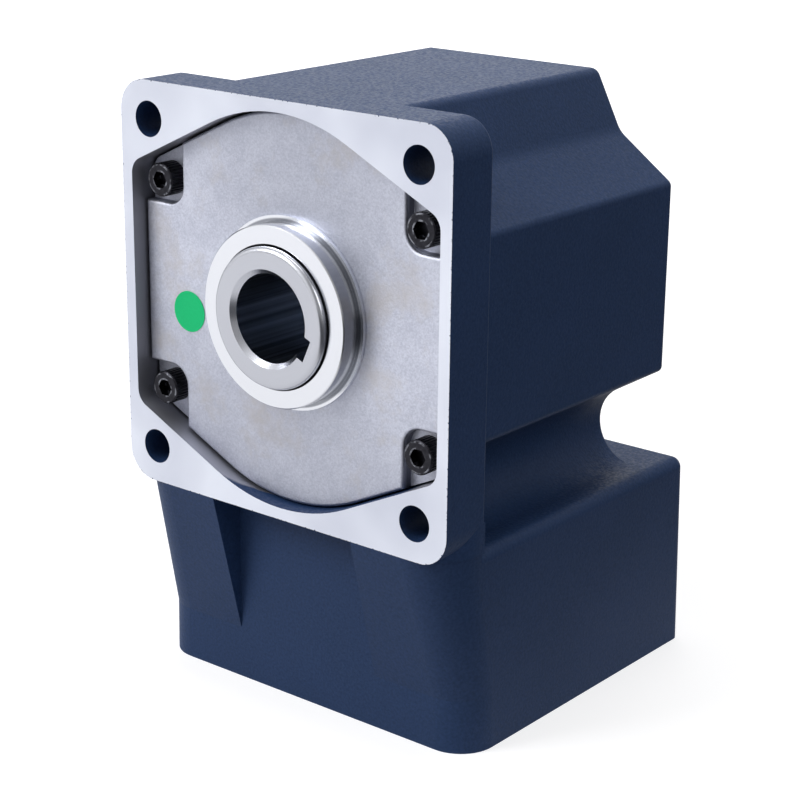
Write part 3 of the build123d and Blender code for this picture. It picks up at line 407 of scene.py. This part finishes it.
# Hollow shaft and sleeves: medium carbon steel, turned outside and reamed inside. The
# shaft's keyway is broached. The lathe leaves fine rings, which stretch highlights across
# the end face.
bore_radius = 11.03 * MM
ring_spacing = 0.4 * MM
ring_relief = 0.1 * MM
steel_dark, steel_light = linear("BEC0C8"), linear("C6C8D0")
bore_dark, bore_light = linear("79818E"), linear("BEC6D4")

turned_steel = new_material("turned_carbon_steel", Metallic=1.0, Anisotropic=0.6)
place = add(turned_steel, "TexCoord", out="Object")
x, y, z = add(turned_steel, "SeparateXYZ", {0: place}, out=slice(None))
flat = add(turned_steel, "VectorMath", {0: place, 1: across_y}, operation="MULTIPLY")
radius = add(turned_steel, "VectorMath", {0: flat}, operation="LENGTH", out="Value")
# Rings 0.4 mm apart, by radius on the end face and by depth on the sides.
feed = add(turned_steel, "Math", {0: radius, 1: y}, operation="ADD")
feed = add(turned_steel, "Math", {0: feed, 1: 1 / ring_spacing}, operation="MULTIPLY")
feed = add(turned_steel, "TexNoise", {"W": feed, "Scale": 1.0, "Detail": 3.0},
           noise_dimensions="1D")
steel_colour = add(turned_steel, "Mix", {0: feed, 6: steel_dark, 7: steel_light}, out=2,
                   data_type="RGBA")
# The reamed bore has its own colour, mostly darker than the outside, drawn out in streaks along
# the axis.
in_bore = add(turned_steel, "Math", {0: radius, 1: bore_radius}, operation="LESS_THAN")
angle = add(turned_steel, "Math", {0: x, 1: z}, operation="ARCTAN2")
streaks = add(turned_steel, "TexNoise", {"W": angle, "Scale": 6.0, "Detail": 3.0},
              noise_dimensions="1D")
streaks = add(turned_steel, "MapRange", {"Value": streaks, 1: 0.35, 2: 0.65})
bore_colour = add(turned_steel, "Mix", {0: streaks, 6: bore_dark, 7: bore_light}, out=2,
                  data_type="RGBA")
steel_colour = add(turned_steel, "Mix", {0: in_bore, 6: steel_colour, 7: bore_colour},
                   out=2, data_type="RGBA")
strength = add(turned_steel, "MapRange", {"Value": in_bore, 3: 0.02, 4: 0.0})
relief = add(turned_steel, "Bump", {"Strength": strength, "Distance": ring_relief,
                                    "Height": feed})
round_axis = add(turned_steel, "Tangent", direction_type="RADIAL", axis="Y")
turned_rough = add(turned_steel, "MapRange", {"Value": feed, 1: 0.3, 2: 0.7,
                                              3: 0.20, 4: 0.25})
steel_rough = add(turned_steel, "Mix", {0: in_bore, 2: turned_rough, 3: 0.3})
drive(turned_steel, Base_Color=steel_colour, Tangent=round_axis, Roughness=steel_rough,
      Normal=relief)
for name in ("hollow_shaft", "output_sleeve", "cross_front_sleeve", "cross_rear_sleeve",
             "bevel_shaft_sleeve"):
    finish_node(name, turned_steel)


# Gears and pinion shafts: alloy steel, hobbed, case hardened and ground on the flanks.
# Hardening leaves a darker, slightly brown-grey skin with a cloudy bloom.
skin_size = 6 * MM
scratch_size = 0.5 * MM
scratch_relief = 0.05 * MM
skin_dark, skin_light = linear("6E6C6A"), linear("94918D")
hardened = new_material("case_hardened_gear_steel", Metallic=1.0)
place = add(hardened, "TexCoord", out="Object")
skin = add(hardened, "TexNoise", {"Vector": place, "Scale": 1 / skin_size, "Detail": 5.0,
                                  "Roughness": 0.6})
scratch = add(hardened, "TexNoise", {"Vector": place, "Scale": 1 / scratch_size,
                                     "Detail": 3.0})
skin_colour = add(hardened, "Mix", {0: skin, 6: skin_dark, 7: skin_light}, out=2,
                  data_type="RGBA")
skin_rough = add(hardened, "MapRange", {"Value": scratch, 1: 0.3, 2: 0.7, 3: 0.28, 4: 0.42})
relief = add(hardened, "Bump", {"Strength": 0.08, "Distance": scratch_relief,
                                "Height": scratch})
drive(hardened, Base_Color=skin_colour, Roughness=skin_rough, Normal=relief)
for name in ("output_gear", "cross_pinion_shaft", "bevel_gear", "bevel_pinion_shaft",
             "second_gear", "idler_pinion_shaft", "first_gear"):
    finish_node(name, hardened)


# Keys, retaining rings and the rear plug: drawn and pressed steel, phosphated grey.
# The phosphate crystals give a dull, even grain.
phosphated = new_material("phosphated_spring_steel", Metallic=1.0)
mottle(phosphated, 0.4 * MM, ("4C4D50", "66676B"), (0.4, 0.6), (0.15, 0.05 * MM), 4.0)
for name in ("output_gear_key", "bevel_gear_key", "second_gear_key", "second_gear_circlip",
             "cross_bore_circlip", "cross_bore_plug"):
    finish_node(name, phosphated)


# Bearings: chrome steel rings, ground and lapped, with pressed shields.
# Lapping leaves an almost even mirror with a very fine grain.
lapped = new_material("ground_bearing_steel", Metallic=1.0)
mottle(lapped, 0.6 * MM, ("B8B9BD", "C9CACE"), (0.12, 0.24), (0.03, 0.05 * MM), 3.0)
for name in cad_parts:
    if "bearing" in name and name != "bearing_carrier":
        finish_node(name, lapped)


# Bearing carrier and motor side plate: grey iron and mild steel, turned and drilled.
# The plate closes the gear case inside the motor's pilot.
iron_feed = 0.5 * MM
iron_relief = 0.1 * MM
iron_dark, iron_light = linear("83858A"), linear("A0A2A6")
machined_iron = new_material("machined_grey_iron", Metallic=1.0)
place = add(machined_iron, "TexCoord", out="Object")
from_axis = add(machined_iron, "VectorMath", {0: place, 1: motor_axis},
                operation="SUBTRACT")
from_axis = add(machined_iron, "VectorMath", {0: from_axis, 1: across_z},
                operation="MULTIPLY")
radius = add(machined_iron, "VectorMath", {0: from_axis}, operation="LENGTH", out="Value")
feed = add(machined_iron, "Math", {0: radius, 1: 1 / iron_feed}, operation="MULTIPLY")
feed = add(machined_iron, "TexNoise", {"W": feed, "Scale": 1.0, "Detail": 3.0},
           noise_dimensions="1D")
iron_colour = add(machined_iron, "Mix", {0: feed, 6: iron_dark, 7: iron_light}, out=2,
                  data_type="RGBA")
iron_rough = add(machined_iron, "MapRange", {"Value": feed, 1: 0.3, 2: 0.7, 3: 0.3, 4: 0.45})
relief = add(machined_iron, "Bump", {"Strength": 0.08, "Distance": iron_relief,
                                     "Height": feed})
drive(machined_iron, Base_Color=iron_colour, Roughness=iron_rough, Normal=relief)
for name in ("bearing_carrier", "motor_side_plate"):
    finish_node(name, machined_iron)


# Floor: a wide sheet of matt white paper that runs out of view behind the object.
# It keeps the object's shadow. Its colour is painted dark on the right, as painted shade, and
# it glows faintly for reflections on the left, which see it pale there and dark on the right.
floor_level = -105.05 * MM
floor_half = 4.0
dark_start, dark_end = 0.05, 0.14
far_start, far_end = 0.4, 1.2
# Lit paper, and the same paper painted dark as painted shade on the right.
paper_lit, paper_unlit = linear("C4C4C6"), linear("3A3B40")
corners = [(x * floor_half, y * floor_half, floor_level)
           for x, y in ((-1, -1), (1, -1), (1, 1), (-1, 1))]
sheet = bpy.data.meshes.new("floor")
sheet.from_pydata(corners, [], [(0, 1, 2, 3)])
floor = bpy.data.objects.new("floor", sheet)
bpy.context.scene.collection.objects.link(floor)
paper = new_material("matt_white_paper", Roughness=0.9)
place = add(paper, "TexCoord", out="Object")
rightward = add(paper, "SeparateXYZ", {0: place}, out=0)
unlit = add(paper, "MapRange", {"Value": rightward, 1: dark_start, 2: dark_end},
            interpolation_type="SMOOTHSTEP")
paper_colour = add(paper, "Mix", {0: unlit, 6: paper_lit, 7: paper_unlit}, out=2,
                   data_type="RGBA")
camera_ray, glossy_ray, clear_ray = [add(paper, "LightPath", out="Is %s Ray" % kind)
                                     for kind in ("Camera", "Glossy", "Transmission")]
seen = add(paper, "Math", {0: camera_ray, 1: clear_ray}, operation="MAXIMUM")
# The camera sees the paper glow towards pure white where it is unlit or far away.
distance = add(paper, "VectorMath", {0: place}, operation="LENGTH", out="Value")
far = add(paper, "MapRange", {"Value": distance, 1: far_start, 2: far_end})
fading = add(paper, "Math", {0: unlit, 1: far}, operation="MAXIMUM")
whitening = add(paper, "MapRange", {"Value": fading, 3: 0.65, 4: 1.0})
seen = add(paper, "Math", {0: seen, 1: whitening}, operation="MULTIPLY")
mirrored = add(paper, "MapRange", {"Value": unlit, 3: 0.4, 4: 0.0})
glow = add(paper, "Math", {0: glossy_ray, 1: mirrored, 2: seen}, operation="MULTIPLY_ADD")
shader = paper.node_tree.nodes["Principled BSDF"]
shader.inputs["Emission Color"].default_value = (1, 1, 1, 1)
drive(paper, Base_Color=paper_colour, Emission_Strength=glow)
floor.data.materials.append(paper)


# Studio: four soft boxes in a pale room. The key is above and to the left of the front, and
# weaker ones hang overhead, at the right and behind at the left.
def soft_box(name, place, size, power):
    """Hang a square area lamp at a place, turned towards the middle of the object."""
    middle = Vector((0, 50 * MM, -25 * MM))
    lamp = bpy.data.lights.new(name, "AREA")
    lamp.shape = "SQUARE"
    lamp.size = size
    lamp.energy = power
    held = bpy.data.objects.new(name, lamp)
    held.location = place
    held.rotation_euler = (middle - Vector(place)).to_track_quat("-Z", "Y").to_euler()
    bpy.context.scene.collection.objects.link(held)


soft_box("key_light", (-0.75, -1.0, 1.0), 0.8, 16)
soft_box("top_light", (0.0, 0.3, 1.5), 0.9, 8)
soft_box("side_light", (1.4, -0.1, 0.8), 0.8, 4.5)
soft_box("rear_light", (-1.3, 1.45, 0.55), 0.9, 3)

room = bpy.data.worlds.new("pale_room")
bpy.context.scene.world = room
room.use_nodes = True
backdrop = room.node_tree.nodes["Background"]
camera_ray, glossy_ray, clear_ray = [add(room, "LightPath", out="Is %s Ray" % kind)
                                     for kind in ("Camera", "Glossy", "Transmission")]
# Reflections see a white room that darkens towards its right side.
direction = add(room, "TexCoord", out="Generated")
rightward = add(room, "SeparateXYZ", {0: direction}, out=0)
lit_side = add(room, "MapRange", {"Value": rightward, 1: 0.0, 2: 0.5, 3: 1.0, 4: 0.25},
               interpolation_type="SMOOTHSTEP")
seen = add(room, "Math", {0: glossy_ray, 1: lit_side}, operation="MULTIPLY")
seen = add(room, "Math", {0: camera_ray, 1: seen}, operation="MAXIMUM")
seen = add(room, "Math", {0: seen, 1: clear_ray}, operation="MAXIMUM")
level = add(room, "MapRange", {"Value": seen, 3: 0.25, 4: 1.0})
room.node_tree.links.new(level, backdrop.inputs["Strength"])
backdrop.inputs["Color"].default_value = (1, 1, 1, 1)
bpy.context.scene.view_settings.view_transform = "Standard"


# Camera: a 93 mm lens half a metre away, to the right of the front and a little above.
camera_place = (0.32143, -0.35151, 0.13241)
turn, tilt, roll = radians(38.90), radians(17.85), radians(0.63)
lens = bpy.data.cameras.new("camera")
lens.sensor_width = 36
lens.lens = 92.78
camera = bpy.data.objects.new("camera", lens)
camera.matrix_world = (Matrix.Translation(camera_place) @ Matrix.Rotation(turn, 4, "Z")
                       @ Matrix.Rotation(pi / 2 - tilt, 4, "X")
                       @ Matrix.Rotation(roll, 4, "Z"))
bpy.context.scene.collection.objects.link(camera)
bpy.context.scene.camera = camera
